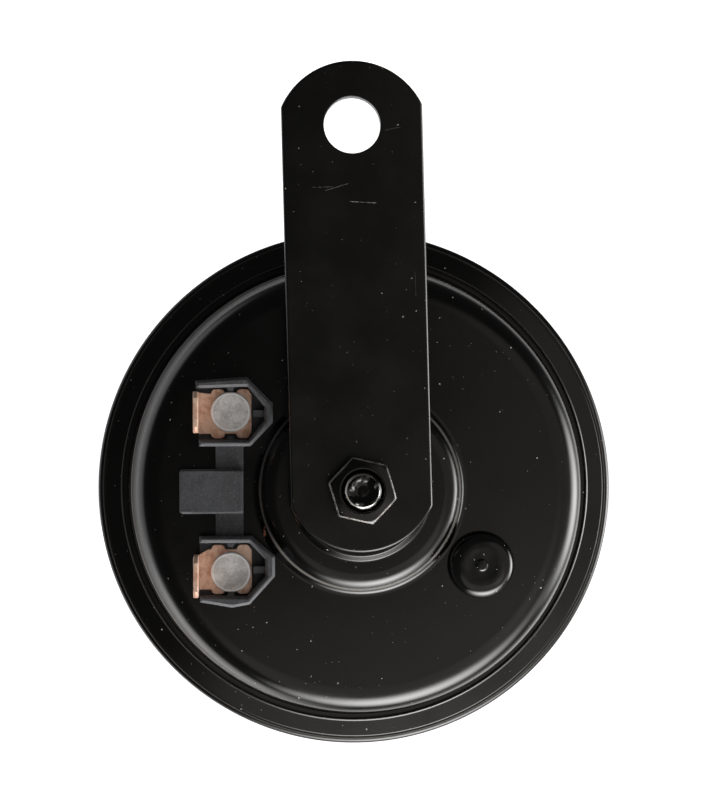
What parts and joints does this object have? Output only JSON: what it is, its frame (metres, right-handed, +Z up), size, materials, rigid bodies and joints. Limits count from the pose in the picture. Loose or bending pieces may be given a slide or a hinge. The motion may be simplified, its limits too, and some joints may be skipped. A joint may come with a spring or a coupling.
{
  "type": "car horn",
  "caption": "Electromagnetic disc horn: stepped black steel housing with crimped rim, strap bracket, blade terminals in a plastic carrier, inner magnet and a tone disc in front.",
  "frame": {"origin": "on the axis of the strap bracket's bolt hole, on the bracket's front face", "axes": "+Z up along the bracket, -Y to the rear where the bracket and terminals are, +Y to the front where the tone disc is, +X to the side away from the terminals"},
  "size_m": [0.09, 0.0495, 0.1161],
  "materials": {
    "black_lacquer": "gloss black lacquer",
    "disc_lacquer": "satin black lacquer",
    "grey_plastic": "matte dark grey moulding",
    "seal_compound": "glossy black sealing compound",
    "copper_strip": "satin copper alloy",
    "tinned_rivet": "mottled matte",
    "plated_steel": "zinc plated",
    "spring_steel": "rolled spring steel",
    "spring_bronze": "rolled bronze",
    "contact_metal": "turned",
    "enamelled_wire": "enamelled copper",
    "coil_plastic": "natural moulding",
    "laminate": "pressed fibre",
    "gasket_paper": "grey gasket paper"
  },
  "bodies": {
    "housing": {"rear_housing": "black_lacquer", "crimp_ring": "black_lacquer", "mounting_bracket": "black_lacquer", "bracket_nut": "black_lacquer", "pole_core": "plated_steel", "coil_bobbin": "coil_plastic", "coil_winding": "enamelled_wire", "coil_retainer": "plated_steel", "breaker_plate": "plated_steel", "breaker_spacer": "plated_steel", "rear_insulator": "laminate", "middle_insulator": "laminate", "front_insulator": "laminate", "moving_contact_arm": "spring_bronze", "fixed_contact_arm": "spring_bronze", "fixed_contact": "contact_metal", "lower_breaker_rivet": "plated_steel", "upper_breaker_rivet": "plated_steel", "adjusting_screw": "plated_steel", "screw_seal": "seal_compound", "terminal_carrier": "grey_plastic", "upper_terminal": "copper_strip", "lower_terminal": "copper_strip", "upper_rivet": "tinned_rivet", "lower_rivet": "tinned_rivet", "upper_insulator": "laminate", "lower_insulator": "laminate", "coil_lead": "enamelled_wire", "breaker_lead": "enamelled_wire", "supply_lead": "enamelled_wire", "rear_gasket": "gasket_paper", "front_gasket": "gasket_paper", "diaphragm": "spring_steel"},
    "armature": {"armature": "plated_steel", "armature_pusher": "laminate", "armature_bolt": "plated_steel", "diaphragm_washer": "plated_steel", "disc_spacer": "plated_steel", "tone_disc": "disc_lacquer", "lock_washer": "plated_steel", "disc_nut": "plated_steel", "moving_contact": "contact_metal"}
  },
  "joints": [
    {"name": "armature_stroke", "type": "slide", "parent": "housing", "child": "armature", "axis": [0, -1, 0], "range_m": [0, 0.0005], "stiffness_N_per_m": 100000, "deforming": ["diaphragm", "moving_contact_arm"]}
  ]
}
